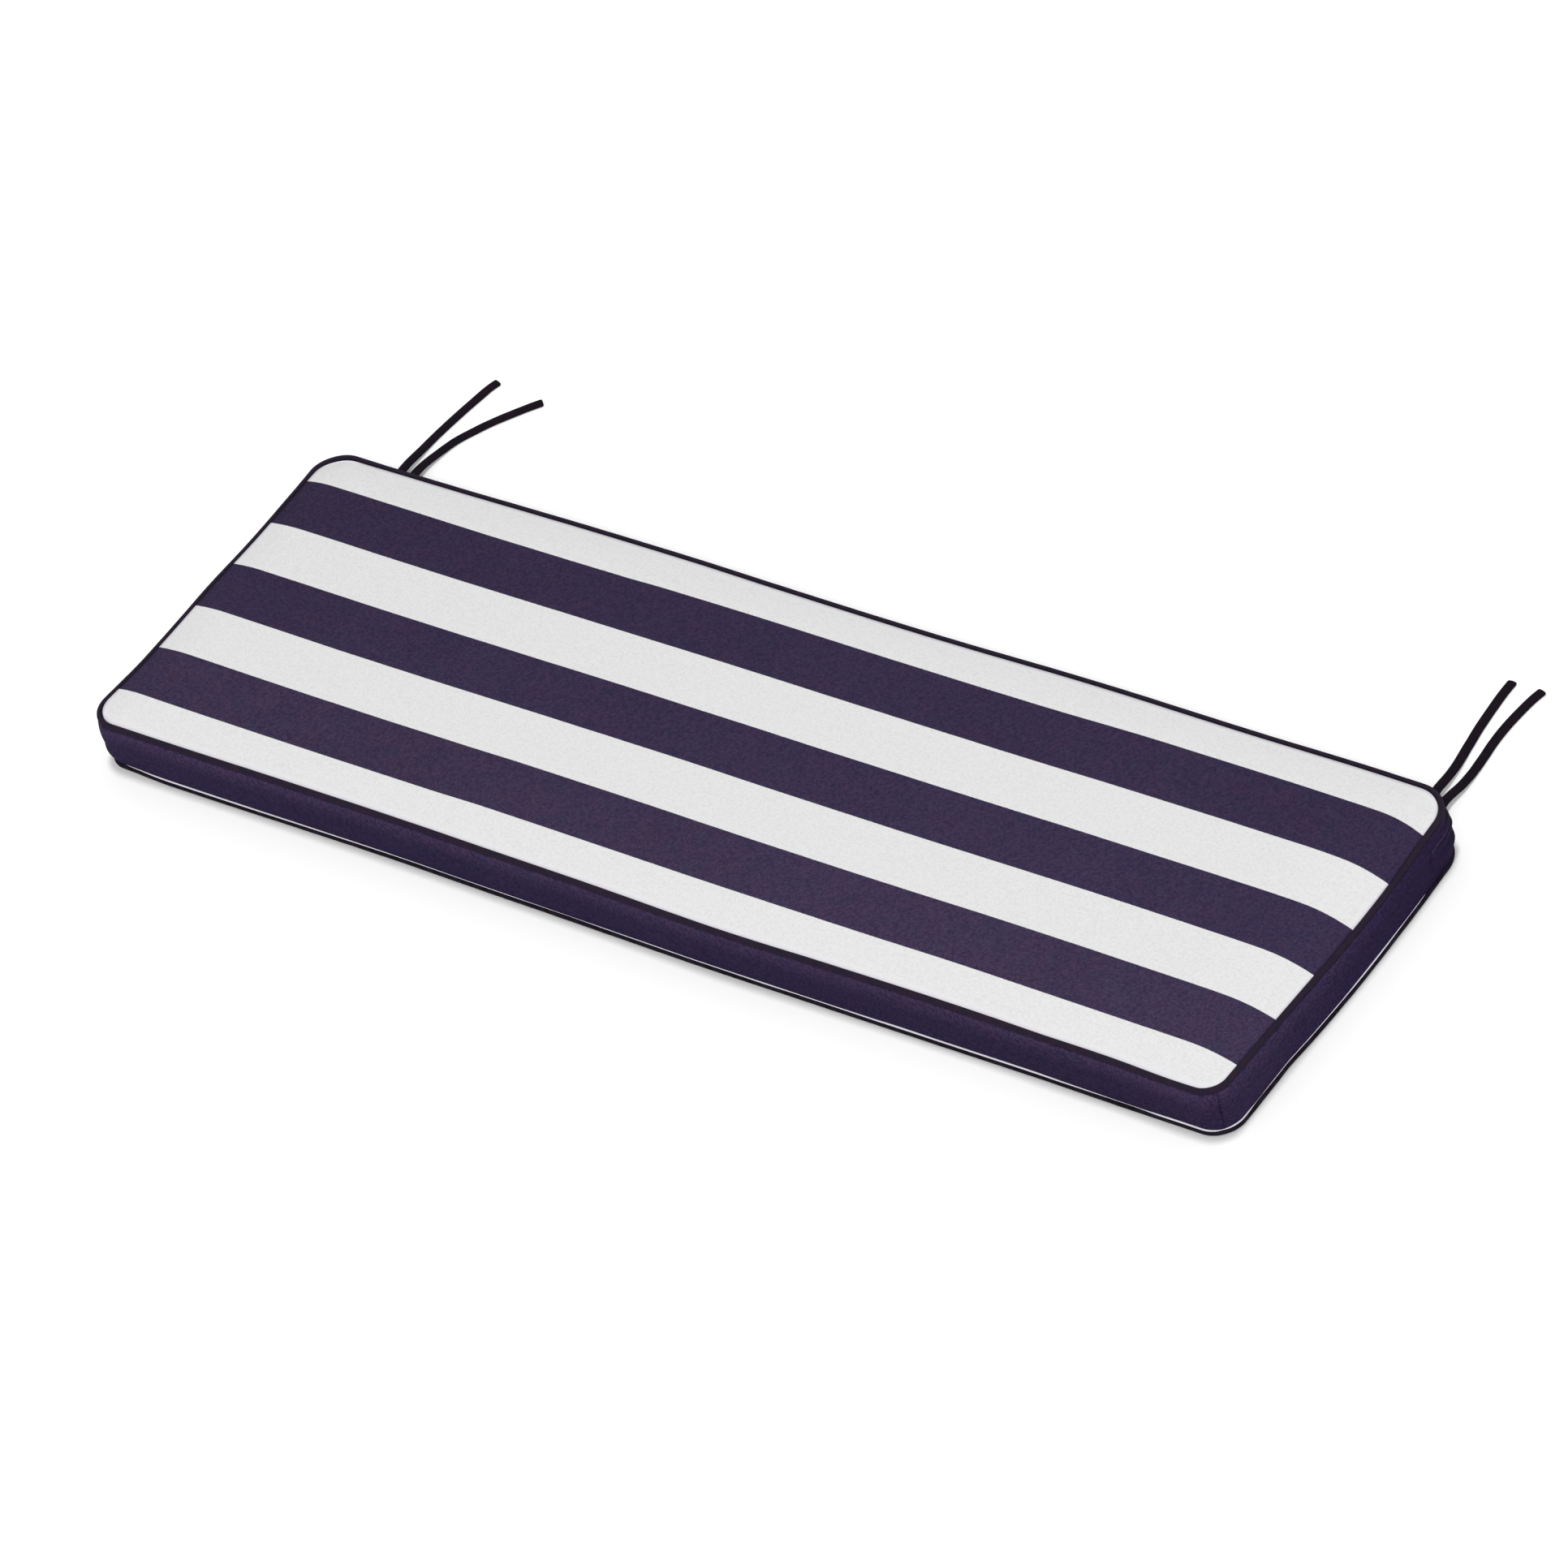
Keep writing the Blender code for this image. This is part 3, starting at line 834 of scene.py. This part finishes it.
def boxing_relief(place, share):
    """Folds and puckers of the boxing: how far its face stands out beyond its even swell."""
    from_join = abs(place - JOIN_PLACE - JOIN_LEAN * share)
    join = bell(from_join / JOIN_WIDTH) * (1 - 0.45 * smooth((share - 0.4) / 0.4)) * smooth(share / 0.25)
    pucker = bell((place - PUCKER_PLACE) / PUCKER_WIDTH) * smooth((share - 0.30) / 0.25)
    relief = -JOIN_DEPTH * join - PUCKER_DEPTH * pucker
    relief += JOIN_RIDGE * math.exp(-((from_join / JOIN_RIDGE_AWAY - 1) ** 2) * 3)
    near_seam = max(1 - min(share, 1 - share) / SEAM_PUCKER_REACH, 0.0)
    relief += SEAM_PUCKERS * near_seam * noise.noise(Vector((place * 130, share * 3, 3.1)))
    relief += SLOW_SWELLS * noise.noise(Vector((place * 22, share * 1.4, 7.7)))
    for (fold_place, fold_share), (half_place, half_share), height in FOLDS:
        away = ((place - fold_place) / half_place) ** 2 + ((share - fold_share) / half_share) ** 2
        relief += height * MM * math.exp(-1.6 * away)
    from_corner = min(place, AROUND - place)
    flush = FRONT_LEFT_OUT * bell(from_corner / FRONT_LEFT_REACH) * smooth((share - 0.35) / 0.3)
    return relief * smooth(share / 0.10) * smooth((1 - share) / 0.10) + flush


def boxing_out(share):
    """How far the boxing swells out at a share of its height."""
    return BOXING_PROUD + BOXING_SWELL * (1 - (2 * share - 1) ** 2)


def boxing_ring(border, share, inset_at):
    """A ring of the boxing at a share of its height. inset_at gives its inset at a place."""
    ring = []
    for u, v, place in border:
        low, high = boxing_edges(u, v, place)
        ring.append(point_at(u, v, inset_at(place), low + (high - low) * share))
    return ring


def make_boxing(cloth):
    """The border strip: a thin band whose face swells and folds between the two rows of piping."""
    border = fine_border((JOIN_PLACE + JOIN_LEAN / 2, PUCKER_PLACE))
    rings, across = [], []
    for row in range(BOXING_ROWS + 1):
        share = row / BOXING_ROWS
        out = boxing_out(share)
        if row in (0, BOXING_ROWS):
            out -= BOXING_RAW_EDGE
        rings.append(boxing_ring(border, share, lambda place: -out - boxing_relief(place, share)))
        across.append(share * SEAM_RISE)
    for share in BOXING_BACK_SHARES:
        inset = BOXING_THICKNESS - boxing_out(share)
        rings.append(boxing_ring(border, share, lambda place: inset))
        across.append(BOXING_BACK + (1 - share) * SEAM_RISE)
    across.append(2 * BOXING_BACK)
    boxing = hoop("boxing_strip", rings, cloth, across, [place for _, _, place in border] + [AROUND])
    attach(boxing, "root")
    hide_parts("boxing")


def make_piping(name, node, level, cloth):
    """One row of piping: a cord in its bias-cut cover, closed round the cushion."""
    border = fine_border()
    rings = []
    for facet in range(PIPING_FACETS):
        angle = 2 * math.pi * facet / PIPING_FACETS
        ring = []
        for u, v, place in border:
            centre = seam_height(*rounded(u, v, 0.0, 1.0)) if level else LOW_SEAM
            sway = PIPING_SWAY * noise.noise(Vector((place * 60, level * 9, 0.4)))
            radius = PIPING_RADIUS * (1 + 0.02 * noise.noise(Vector((place * 160, angle, level * 5))))
            bunch = level * PIPING_BUNCH * bell((place - BACK_LEFT_PLACE) / PIPING_BUNCH_REACH)
            inset = radius * math.cos(angle) + sway + bunch * max(math.cos(angle), 0.0)
            height = max(centre + radius * math.sin(angle), 0.0)
            ring.append(Vector((*plan_point(u, v, inset, level), height)))
        rings.append(ring)
    across = [facet / PIPING_FACETS * 2 * math.pi * PIPING_RADIUS for facet in range(PIPING_FACETS + 1)]
    piping = hoop(name, rings, cloth, across, distances_along([*rings[0], rings[0][0]]))
    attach(piping, "root")
    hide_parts(node)


# Materials


WEAVE_PITCH = 0.00075
WEAVE_RELIEF = 0.00016
PIPING_RELIEF = 0.00018
THREAD_RELIEF = 0.00008
STRIPE_FRAY = 0.00045  # how far the stripes' edges step from thread to thread
STRIPE_BLUR = 0.00025  # half the width over which they pass from white to navy
SPECULAR = 0.10
UNTINTED = (1.0, 1.0, 1.0)
NAVY = (0.0302, 0.0213, 0.0517)
NAVY_PLUM = (0.0362, 0.0208, 0.0502)
NAVY_BLUE = (0.0252, 0.0210, 0.0556)
BOXING_NAVY = (0.0261, 0.0168, 0.0520)
BOXING_PLUM = (0.0330, 0.0162, 0.0500)
BOXING_BLUE = (0.0200, 0.0168, 0.0580)
# Painted light and shade on the boxing by place round it: tints low on it, and lighter ones beside the top
# piping, where its swell faces the light; darker towards the back right corner, away from the lamps
BOXING_LIGHT_TINTS = (
    (0.30, (0.775, 0.720, 0.890), (1.73, 1.72, 1.50)),
    (0.80, (0.709, 0.662, 0.810), (1.60, 1.57, 1.30)),
    (1.10, (0.690, 0.636, 0.770), (1.65, 1.65, 1.38)),
    (1.16, (0.810, 0.710, 0.825), (1.85, 1.85, 1.52)),
    (1.25, (0.830, 0.790, 0.870), (1.38, 1.36, 1.30)),
    (1.35, (0.760, 0.630, 0.840), (1.36, 1.38, 1.28)),
    (1.43, (0.545, 0.450, 0.710), (0.96, 0.87, 1.05)),
    (1.56, (0.430, 0.260, 0.560), (0.56, 0.32, 0.62)),
    (1.90, (0.740, 0.700, 0.800), (1.60, 1.55, 1.40)),
)
# Painted shade on its edge where it goes under the top piping: tints on the front and on the right side, and
# how far under the piping's centre line it starts and is full
GROOVE_SHADE_TINTS = (0.62, 0.52, 0.62), (0.46, 0.36, 0.46)
GROOVE_SHADE_START = 0.0034
GROOVE_SHADE_FULL = 0.0016
WHITE = (0.690, 0.691, 0.688)
WHITE_SHADE = (0.615, 0.616, 0.620)
# Painted highlight: the lighter lilac white beside the seams, where the cloth slopes down into them
SEAM_HIGHLIGHT_LILAC = (0.745, 0.726, 0.782)
# Painted light: both tones of the underside's white are brighter than the top's, for the roll under the
# boxing that gets less light
UNDERSIDE_LIT_WHITE = (0.90, 0.87, 0.92)
UNDERSIDE_SHADE = (0.84, 0.82, 0.86)
PIPING_DARK = (0.0152, 0.0107, 0.0238)
PIPING_PLUM = (0.0214, 0.0121, 0.0250)
# Painted shade: the bottom piping's cover is a darker copy of the top one's, for the shade near the floor
PIPING_LOW_SHADED = (0.0080, 0.0045, 0.0100)
TIE_DARK = (0.0055, 0.0030, 0.0078)
TIE_PLUM = (0.0095, 0.0038, 0.0090)
THREAD_DARK = (0.0130, 0.0090, 0.0180)


class Shader:
    """A Principled material and short ways to add nodes to it."""

    def __init__(self, name):
        self.material = bpy.data.materials.new(name)
        self.material.use_nodes = True
        self.tree = self.material.node_tree
        self.principled = self.tree.nodes["Principled BSDF"]

    def feed(self, socket, source):
        """Link an output to a socket, or set a number or a colour on it."""
        if isinstance(source, bpy.types.NodeSocket):
            self.tree.links.new(source, socket)
        else:
            socket.default_value = (*source, 1.0) if isinstance(source, tuple) else source

    def node(self, kind, sources=(), **settings):
        """A new node. sources gives what feeds its inputs, by their names or numbers."""
        item = self.tree.nodes.new(kind)
        for name, value in settings.items():
            setattr(item, name, value)
        for name, source in dict(sources).items():
            self.feed(item.inputs[name], source)
        return item

    def math(self, operation, *sources):
        return self.node("ShaderNodeMath", enumerate(sources), operation=operation).outputs[0]

    def mix(self, factor, first, second, blend="MIX"):
        sources = {"Factor": factor, 6: first, 7: second}
        return self.node("ShaderNodeMix", sources, data_type="RGBA", blend_type=blend).outputs[2]

    def times(self, colour, *tints):
        """A colour multiplied by each tint in turn."""
        for tint in tints:
            colour = self.mix(1.0, colour, tint, "MULTIPLY")
        return colour

    def ranged(self, source, low, high, to_low=0.0, to_high=1.0, kind="LINEAR"):
        sources = {"Value": source, "From Min": low, "From Max": high, "To Min": to_low, "To Max": to_high}
        return self.node("ShaderNodeMapRange", sources, interpolation_type=kind).outputs["Result"]

    def noise(self, scale, detail=2.0, roughness=0.5):
        place = self.node("ShaderNodeTexCoord").outputs["Object"]
        sources = {"Vector": place, "Scale": scale, "Detail": detail, "Roughness": roughness}
        return self.node("ShaderNodeTexNoise", sources).outputs["Fac"]

    def cloth(self):
        """The place on the flat cloth, along and across, in metres."""
        uv = self.node("ShaderNodeUVMap", uv_map="cloth")
        parts = self.node("ShaderNodeSeparateXYZ", {0: uv.outputs["UV"]})
        return parts.outputs["X"], parts.outputs["Y"]

    def weave(self, along, across, pitch=WEAVE_PITCH):
        """Height of a plain weave, from 0 between its threads to 1, and which thread is on top."""
        turns = [self.math("MULTIPLY", place, math.pi / pitch) for place in (along, across)]
        product = self.math("MULTIPLY", *[self.math("SINE", turn) for turn in turns])
        return self.math("ABSOLUTE", product), product

    def threads(self, over, contrast):
        """The tint of the upper and the lower threads of a weave."""
        return self.ranged(over, -1.0, 1.0, 1 - contrast, 1 + contrast)

    def toward(self, along, across, cosine, sine):
        """How far a place is in a direction."""
        return self.math("ADD", self.math("MULTIPLY", along, cosine), self.math("MULTIPLY", across, sine))

    def line(self, along, across, start, end, width, tint):
        """A soft line between two places of the cloth: its tint on it, and none beside it."""
        length = math.dist(start, end)
        cosine, sine = (end[0] - start[0]) / length, (end[1] - start[1]) / length
        along, across = self.math("SUBTRACT", along, start[0]), self.math("SUBTRACT", across, start[1])
        down = self.toward(along, across, cosine, sine)
        aside = self.toward(along, across, sine, -cosine)
        close = self.ranged(self.math("ABSOLUTE", aside), 0.0, width, 1.0, 0.0, "SMOOTHSTEP")
        begun = self.ranged(down, -0.1 * length, 0.25 * length, 0.0, 1.0, "SMOOTHSTEP")
        ended = self.ranged(down, 0.75 * length, 1.1 * length, 1.0, 0.0, "SMOOTHSTEP")
        return self.mix(self.math("MULTIPLY", close, self.math("MULTIPLY", begun, ended)), UNTINTED, tint)

    def stops(self, value, table):
        """The colour at a value, from a table of values and the colours there."""
        (last, colour), *others = table
        for place, tint in others:
            colour = self.mix(self.ranged(value, last, place), colour, tint)
            last = place
        return colour

    def finish(self, colour, roughness, height=None, relief=WEAVE_RELIEF, specular=SPECULAR):
        """The material, from its colour and roughness and, for a bump, its height from 0 to 1."""
        if height is not None:
            bump = self.node("ShaderNodeBump", {"Strength": 1.0, "Distance": relief, "Height": height})
            self.feed(self.principled.inputs["Normal"], bump.outputs["Normal"])
        self.feed(self.principled.inputs["Base Color"], colour)
        self.principled.inputs["Roughness"].default_value = roughness
        self.principled.inputs["Specular IOR Level"].default_value = specular
        return self.material


def mottled(shader, base, plum, blue, contrast=0.34):
    """Navy cloth as the photograph shows it: fine plum and blue flecks over slow changes of tone."""
    flecks = shader.noise(300.0, 3.0, 0.65)
    hue = shader.math("ADD", flecks, shader.math("MULTIPLY", shader.noise(55.0), 0.8))
    colour = shader.mix(0.45, shader.mix(shader.ranged(hue, 0.70, 1.10), blue, plum), base)
    weak = contrast * 0.6
    grain = shader.mix(
        shader.ranged(shader.noise(400.0, 2.0, 0.6), 0.30, 0.70),
        (1 - contrast, 1 - contrast, 1 - weak),
        (1 + contrast, 1 + contrast, 1 + weak),
    )
    return shader.times(colour, grain, shader.ranged(shader.noise(9.0), 0.3, 0.7, 0.96, 1.04))


def white_grain(shader, white, shade):
    """White cloth with fine darker grain."""
    return shader.mix(shader.ranged(shader.noise(420.0, 3.0, 0.6), 0.42, 0.72), white, shade)


def striped_cloth():
    """White cloth with lengthwise navy stripes, all in one plain weave."""
    shader = Shader("striped_cloth")
    along, across = shader.cloth()
    weave, over = shader.weave(along, across)
    fray = shader.ranged(shader.noise(900.0, 2.0, 0.7), 0.0, 1.0, -STRIPE_FRAY, STRIPE_FRAY)
    place = shader.math("ADD", across, fray)
    navy = 0.0
    for upper, lower in zip(STRIPE_BOUNDARIES[::2], STRIPE_BOUNDARIES[1::2]):
        below = shader.ranged(place, upper - STRIPE_BLUR, upper + STRIPE_BLUR, 1.0, 0.0)
        above = shader.ranged(place, lower - STRIPE_BLUR, lower + STRIPE_BLUR, 0.0, 1.0)
        navy = shader.math("ADD", navy, shader.math("MULTIPLY", below, above))
    fibres = shader.ranged(shader.noise(1300.0, 1.0), 0.3, 0.7, 0.975, 1.02)
    white = shader.times(white_grain(shader, WHITE, WHITE_SHADE), fibres)
    # Painted highlight: the white turns lighter and lilac beside the seams
    seam = shader.node("ShaderNodeAttribute", attribute_name="seam").outputs["Fac"]
    white = shader.mix(shader.math("MULTIPLY", seam, 0.75), white, SEAM_HIGHLIGHT_LILAC)
    # Painted light: both colours grow slowly lighter towards the front and towards the right-hand end
    white_light_across = shader.ranged(across, 0.17, -0.17, 0.974, 1.000)
    white_light_along = shader.ranged(along, -0.5, 0.4, 0.988, 1.003)
    navy_light_across = shader.ranged(across, 0.11, -0.11, 0.97, 1.17)
    navy_light_front = shader.mix(shader.ranged(across, -0.03, -0.09), UNTINTED, (1.07, 1.08, 0.99))
    navy_light_along = shader.ranged(along, -0.58, 0.5, 0.92, 1.06)
    white = shader.times(white, white_light_across, white_light_along)
    dark = shader.times(mottled(shader, NAVY, NAVY_PLUM, NAVY_BLUE), navy_light_across, navy_light_front, navy_light_along)
    colour = shader.times(shader.mix(navy, white, dark), shader.threads(over, 0.015))
    fuzz = shader.math("MULTIPLY", shader.noise(700.0, 2.0, 0.6), 0.5)
    return shader.finish(colour, 0.92, shader.math("ADD", shader.math("MULTIPLY", weave, 0.7), fuzz))


def plain_cloth():
    """The underside's plain white cloth, painted brighter than the top's white as painted light."""
    shader = Shader("underside_cloth")
    weave, over = shader.weave(*shader.cloth())
    white = white_grain(shader, UNDERSIDE_LIT_WHITE, UNDERSIDE_SHADE)
    return shader.finish(shader.times(white, shader.threads(over, 0.015)), 0.92, weave)


def boxing_cloth():
    """Plain navy cloth of the sides."""
    shader = Shader("navy_cloth")
    along, across = shader.cloth()
    weave, over = shader.weave(along, across)
    colour = mottled(shader, BOXING_NAVY, BOXING_PLUM, BOXING_BLUE, 0.52)
    # Painted light and shade: lighter beside the top piping, and darker towards the back right corner
    low = shader.stops(along, [(place, tint) for place, tint, _ in BOXING_LIGHT_TINTS])
    high = shader.stops(along, [(place, tint) for place, _, tint in BOXING_LIGHT_TINTS])
    tint = shader.mix(shader.ranged(across, 0.026, 0.054, 0.0, 1.0, "SMOOTHSTEP"), low, high)
    # Painted shade in the groove under the top piping
    edge = shader.ranged(across, SEAM_RISE - GROOVE_SHADE_START, SEAM_RISE - GROOVE_SHADE_FULL, 0.0, 1.0, "SMOOTHSTEP")
    groove = shader.mix(edge, UNTINTED, shader.mix(shader.ranged(along, 1.18, 1.30), *GROOVE_SHADE_TINTS))
    # Its seam at the front right corner, and painted highlights and shade along the creases near the back
    # right one
    lines = [shader.line(along, across, *line) for line in BOXING_SEAM_AND_LIGHT_LINES]
    return shader.finish(shader.times(colour, shader.threads(over, 0.03), tint, groove, *lines), 0.9, weave)


def dark_cloth(shader, dark, plum, patch_scale):
    """The near-black colour of piping and ties: patches of two tones under a fine grain."""
    colour = shader.mix(shader.ranged(shader.noise(patch_scale), 0.4, 0.65), dark, plum)
    return shader.times(colour, shader.ranged(shader.noise(1000.0, 2.0, 0.6), 0.3, 0.7, 0.86, 1.14))


def piping_cloth(name, dark, plum):
    """The piping's cover: a coarser weave cut on the bias."""
    shader = Shader(name)
    along, across = shader.cloth()
    bias = shader.math("ADD", along, across), shader.math("SUBTRACT", along, across)
    weave, _ = shader.weave(*bias, WEAVE_PITCH * 1.4)
    # Painted shade in the grooves beside the seams, on either side of the cord
    turn = shader.math("MULTIPLY", across, 1 / PIPING_RADIUS)
    outer = shader.ranged(turn, math.radians(180), math.radians(216), 1.0, 0.32, "SMOOTHSTEP")
    inner = shader.ranged(turn, math.radians(38), math.radians(72), 0.60, 1.0, "SMOOTHSTEP")
    colour = shader.times(dark_cloth(shader, dark, plum, 120.0), shader.math("MULTIPLY", outer, inner))
    return shader.finish(colour, 0.88, weave, PIPING_RELIEF)


def tie_cloth():
    """The ties' folded cloth."""
    shader = Shader("tie_cloth")
    weave, _ = shader.weave(*shader.cloth())
    return shader.finish(dark_cloth(shader, TIE_DARK, TIE_PLUM, 90.0), 0.88, weave)


def thread():
    """Sewing thread."""
    shader = Shader("thread")
    twist = shader.noise(2500.0, 1.0)
    return shader.finish(shader.mix(twist, THREAD_DARK, TIE_DARK), 0.7, twist, THREAD_RELIEF)


# Studio


FLOOR_SIZE = 30.0
FLOOR_DROP = 0.0002  # how far the floor is under the cushion, so that the two don't touch
FLOOR_WHITE = 0.90
SKY_LEVEL = 0.50
# Softboxes: place, width, and how white each one makes the floor below it
TOP_LIGHT = (Vector((1.3, 1.15, 24.0)), 4.0, 0.40)
FILL_LIGHT = (Vector((11.2, -10.0, 13.2)), 2.4, 0.26)


def add_softbox(name, place, width, floor_level):
    """A round softbox turned to the cushion."""
    lamp_data = bpy.data.lights.new(name, "AREA")
    lamp_data.shape = "DISK"
    lamp_data.size = width
    distance = place.length
    lamp_data.energy = floor_level * math.pi**2 * distance**2 / (FLOOR_WHITE * place.z / distance)
    lamp = link(name, lamp_data)
    lamp.location = place
    lamp.rotation_euler = place.to_track_quat("Z", "Y").to_euler()


def make_studio():
    """A plain pale floor under an even white sky, one high softbox and a weaker one beside the camera."""
    half = FLOOR_SIZE / 2
    corners = [(x * half, y * half, -FLOOR_DROP) for x, y in ((-1, -1), (1, -1), (1, 1), (-1, 1))]
    pale = Shader("floor").finish((FLOOR_WHITE,) * 3, 1.0, specular=0.0)
    object_from("floor", corners, [(0, 1, 2, 3)], [pale])

    scene = bpy.context.scene
    scene.world = bpy.data.worlds.new("studio")
    scene.world.use_nodes = True
    background = scene.world.node_tree.nodes["Background"]
    background.inputs["Color"].default_value = (1.0, 1.0, 1.0, 1.0)
    background.inputs["Strength"].default_value = SKY_LEVEL
    add_softbox("top_softbox", *TOP_LIGHT)
    add_softbox("fill_softbox", *FILL_LIGHT)
    scene.view_settings.view_transform = "Standard"
    scene.view_settings.look = "None"


# Everything in order


def main():
    make_camera()
    tie_material, thread_material = tie_cloth(), thread()
    for name, rows in TIE_ROUTES_MM.items():
        make_tie(name, rows, tie_material, thread_material)
    make_body(striped_cloth(), plain_cloth())
    make_boxing(boxing_cloth())
    make_piping("piping_top_cover", "piping_top", 1, piping_cloth("piping_cloth", PIPING_DARK, PIPING_PLUM))
    # The bottom piping's cover: a darker copy of the same cloth, as painted shade near the floor
    low_shaded_cloth = piping_cloth("piping_low_shaded_cloth", PIPING_LOW_SHADED, PIPING_DARK)
    make_piping("piping_bottom_cover", "piping_bottom", 0, low_shaded_cloth)
    make_studio()


main()
